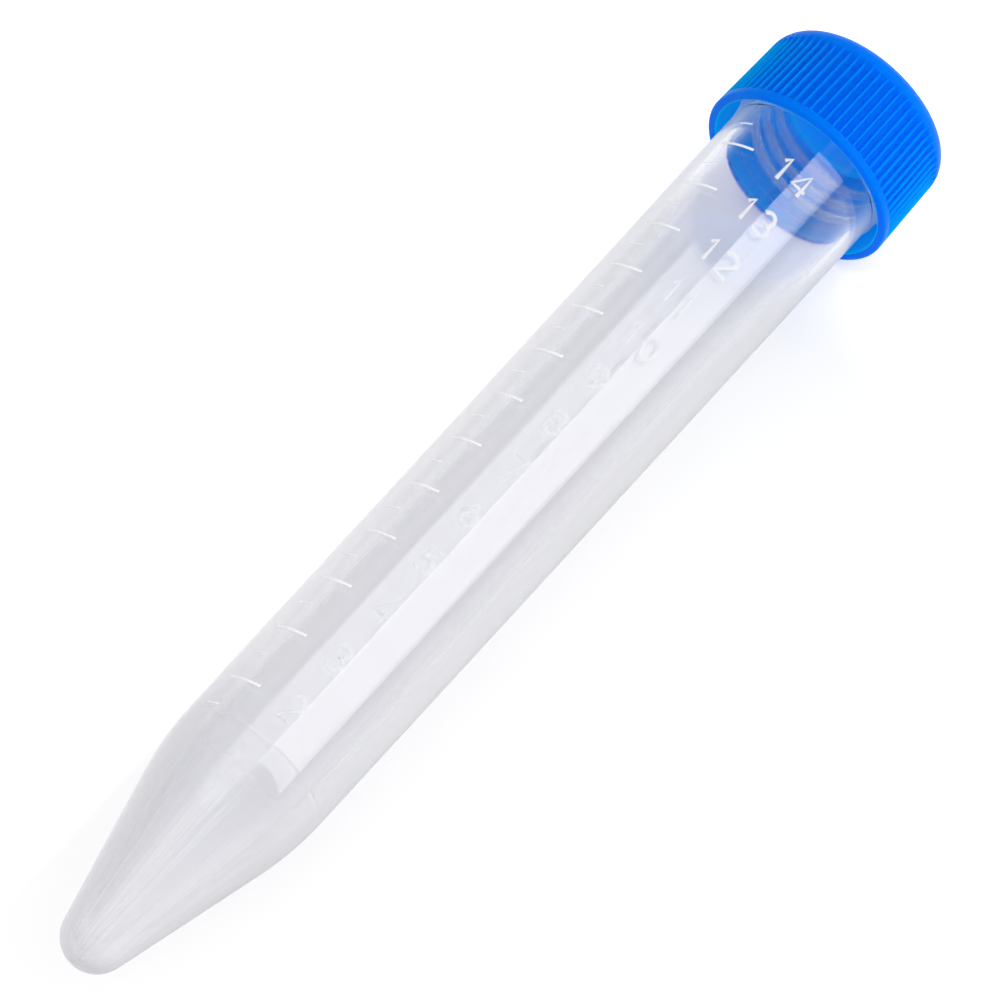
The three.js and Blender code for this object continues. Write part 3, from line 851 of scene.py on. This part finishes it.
def blue_polypropylene():
    """Blue polypropylene with a satin skin, faintly mottled by its pigment and dimpled like orange
    peel. Its slim wall lets some light through, so that its inside glows; the inside faces are also
    a paler blue, a painted glow, and the crests of its ribs are painted paler, a painted highlight.
    The light inside it goes on through the wall, and the light outside is stopped."""
    material, tree = new_material("blue_polypropylene")
    spot = upright(tree)
    crest_highlight = add_node(tree, "ShaderNodeAttribute", attribute_name="crest_highlight").outputs["Fac"]
    outer = add_node(tree, "ShaderNodeAttribute", attribute_name="outside").outputs["Fac"]
    pigment = add_node(tree, "ShaderNodeTexNoise", {
        "Vector": spot, "Scale": PIGMENT_WAVES, "Detail": 4.0})
    colour = add_node(tree, "ShaderNodeMix", {
        0: pigment, 6: linear("0072d6"), 7: linear("007adc")}, data_type="RGBA")
    # Painted highlight: the crests of the ribs are a paler blue than the flutes.
    colour = add_node(tree, "ShaderNodeMix", {
        0: crest_highlight, 6: colour.outputs[2], 7: linear("008cea")}, data_type="RGBA")
    # Painted glow: the inside faces get a paler blue than the outside, on top of the real light
    # through the wall.
    colour = add_node(tree, "ShaderNodeMix", {
        0: outer, 6: linear("00b4f0"), 7: colour.outputs[2]}, data_type="RGBA")
    peel = add_node(tree, "ShaderNodeTexNoise", {
        "Vector": spot, "Scale": PEEL_WAVES, "Detail": 2.0})
    dimples = add_node(tree, "ShaderNodeBump", {
        "Height": peel, "Strength": 0.25, "Distance": PEEL_RISE * MM})
    satin = add_node(tree, "ShaderNodeMapRange", {
        0: peel, 1: NOISE_SPAN[0], 2: NOISE_SPAN[1], 3: SATIN_ROUGHNESS[0], 4: SATIN_ROUGHNESS[1]})
    plastic = add_node(tree, "ShaderNodeBsdfPrincipled", {
        "Base Color": colour.outputs[2],
        "Roughness": satin,
        "Normal": dimples,
        "IOR": POLYPROPYLENE_IOR,
        "Specular IOR Level": 0.1,
        "Specular Tint": linear("1e96ff"),
        "Subsurface Weight": 1.0,
        "Subsurface Radius": (0.3, 0.8, 1.0),
        "Subsurface Scale": LIGHT_SPREAD * MM,
    })
    # Painted glow: light through the wall is a pale cyan on the inside faces and a deep blue on the
    # outside ones.
    tone = add_node(tree, "ShaderNodeMix", {
        0: outer, 6: linear("00e6ff"), 7: linear("0070ff")}, data_type="RGBA")
    glow = add_node(tree, "ShaderNodeBsdfTranslucent", {"Color": tone.outputs[2]})
    wall = add_node(tree, "ShaderNodeMixShader", {0: WALL_GLOW, 1: plastic, 2: glow})
    through = add_node(tree, "ShaderNodeBsdfTransparent", {"Color": linear("e4eeff")})
    leaving = add_node(tree, "ShaderNodeNewGeometry").outputs["Backfacing"]
    entering = add_node(tree, "ShaderNodeMath", {0: 1.0, 1: leaving}, operation="SUBTRACT")
    stopped = add_node(tree, "ShaderNodeMath", {0: entering, 1: outer}, operation="MULTIPLY")
    share = add_node(tree, "ShaderNodeMath", {0: 1.0, 1: stopped}, operation="SUBTRACT")
    share = add_node(tree, "ShaderNodeMath", {0: share, 1: WALL_LIGHT}, operation="MULTIPLY")
    path = add_node(tree, "ShaderNodeLightPath")
    passed = add_node(tree, "ShaderNodeMath", {
        0: path.outputs["Is Shadow Ray"], 1: share}, operation="MULTIPLY")
    lit = add_node(tree, "ShaderNodeMixShader", {0: passed, 1: wall, 2: through})
    add_node(tree, "ShaderNodeOutputMaterial", {"Surface": lit})
    return material


def skirt_profile():
    """The cap's section, with a share of the rib's depth for each point: down the inside, round the
    rim, up and over. Also returns how many rows the inside has."""
    top = LENGTH - CAP_TOP_GAP
    ceiling = top - CAP_TOP_THICKNESS
    side_top = top - CAP_EDGE_RADIUS
    slope = CAP_DRAFT / (side_top - RIM_HEIGHT)
    ribs_from, ribs_to = RIM_HEIGHT + RIM_BAND, side_top
    seal_end = MOUTH_HEIGHT - SEAL_DEPTH
    inside = [
        (0, ceiling), (SEAL_RADIUS - SEAL_WALL, ceiling), (SEAL_RADIUS - SEAL_WALL, seal_end),
        (SEAL_RADIUS, seal_end), (SEAL_RADIUS, ceiling), (CAP_BORE_RADIUS, ceiling),
    ]
    rim_height = RIM_HEIGHT + RIM_ROUND
    rim = [
        *arc(CAP_BORE_RADIUS + RIM_ROUND, rim_height, RIM_ROUND, math.pi, 1.5 * math.pi, RIM_STEPS),
        *arc(CAP_RADIUS - RIM_ROUND, rim_height, RIM_ROUND, -math.pi / 2, 0, RIM_STEPS),
    ]
    edge_radius = CAP_RADIUS - slope * (side_top - RIM_HEIGHT) - CAP_EDGE_RADIUS
    edge = arc(edge_radius, side_top, CAP_EDGE_RADIUS, 0, math.pi / 2, EDGE_STEPS)
    shares = [i / RIB_END_STEPS for i in range(RIB_END_STEPS + 1)]
    section = [(r, h, 0.0) for r, h in [*inside, *rim]]
    for share in shares:
        section.append((CAP_RADIUS - slope * RIM_BAND, ribs_from + share * RIB_END[0], share))
    for share in shares:
        height = ribs_to - RIB_END[1] * (1 - share)
        section.append((CAP_RADIUS - slope * (height - RIM_HEIGHT), height, 1 - share))
    section += [(r, h, 0.0) for r, h in edge[1:]]
    section.append((0, top, 0.0))
    return section, len(inside) + RIM_STEPS


def rib_cell():
    """One rib's share of the cap, from the axis inside to the axis outside."""
    pitch = 2 * math.pi / RIB_COUNT
    turns = [pitch * (i / RIB_STEPS - 0.5) for i in range(RIB_STEPS + 1)]
    section, inner_rows = skirt_profile()
    points, faces, crest_highlight = [], [], []
    for row, (radius, height, share) in enumerate(section):
        for turn in turns:
            off = abs(turn) / (pitch / 2)
            valley = min(1, max(0, (off - RIB_CREST) / (RIB_FOOT - RIB_CREST)))
            valley = valley * valley * (3 - 2 * valley)
            here = radius - RIB_DEPTH * valley * math.sin(share * math.pi / 2)
            points.append((here * math.cos(turn), here * math.sin(turn), height))
            # the painted highlight's share: full on the crests and inside, none in the flutes
            crest_highlight.append(1 if row < inner_rows else BAND_HIGHLIGHT + share * (1 - valley - BAND_HIGHLIGHT))
    across = len(turns)
    for row in range(len(section) - 1):
        for i in range(RIB_STEPS):
            a = row * across + i
            faces.append((a, a + 1, a + 1 + across, a + across))
    mesh = bpy.data.meshes.new("rib_cell")
    mesh.from_pydata(points, [], faces)
    is_outside = [number // across >= inner_rows for number in range(len(points))]
    note_on_points(mesh, "outside", is_outside)
    note_on_points(mesh, "crest_highlight", crest_highlight)
    return mesh


def ring_tree(material):
    """Repeats a cell round the axis and welds the copies into one body."""
    tree, start, end = geometry_tree("ribbed_ring", ["Count", "Turn"])
    count = start.outputs["Count"]
    ring = add_node(tree, "GeometryNodeMeshLine", {"Count": count, "Offset": (0, 0, 0)})
    order = add_node(tree, "GeometryNodeInputIndex")
    pitch = add_node(tree, "ShaderNodeMath", {0: 2 * math.pi, 1: count}, operation="DIVIDE")
    turn = add_node(tree, "ShaderNodeMath", {
        0: order, 1: pitch, 2: start.outputs["Turn"]}, operation="MULTIPLY_ADD")
    spin = add_node(tree, "ShaderNodeCombineXYZ", {2: turn})
    cells = add_node(tree, "GeometryNodeInstanceOnPoints", {
        "Points": ring, "Instance": start.outputs["Geometry"], "Rotation": spin})
    real = add_node(tree, "GeometryNodeRealizeInstances", {"Geometry": cells})
    welded = add_node(tree, "GeometryNodeMergeByDistance", {"Geometry": real, "Distance": WELD})
    finish_tree(tree, end, welded, material)
    return tree


blue = blue_polypropylene()
cap_mesh = grown("screw_cap", rib_cell(), ring_tree(blue), {
    "Count": RIB_COUNT,
    "Turn": math.radians(RIB_TURN),
})
lay("ribbed_cap", cap_mesh, "cap_body", ["screw_cap"])
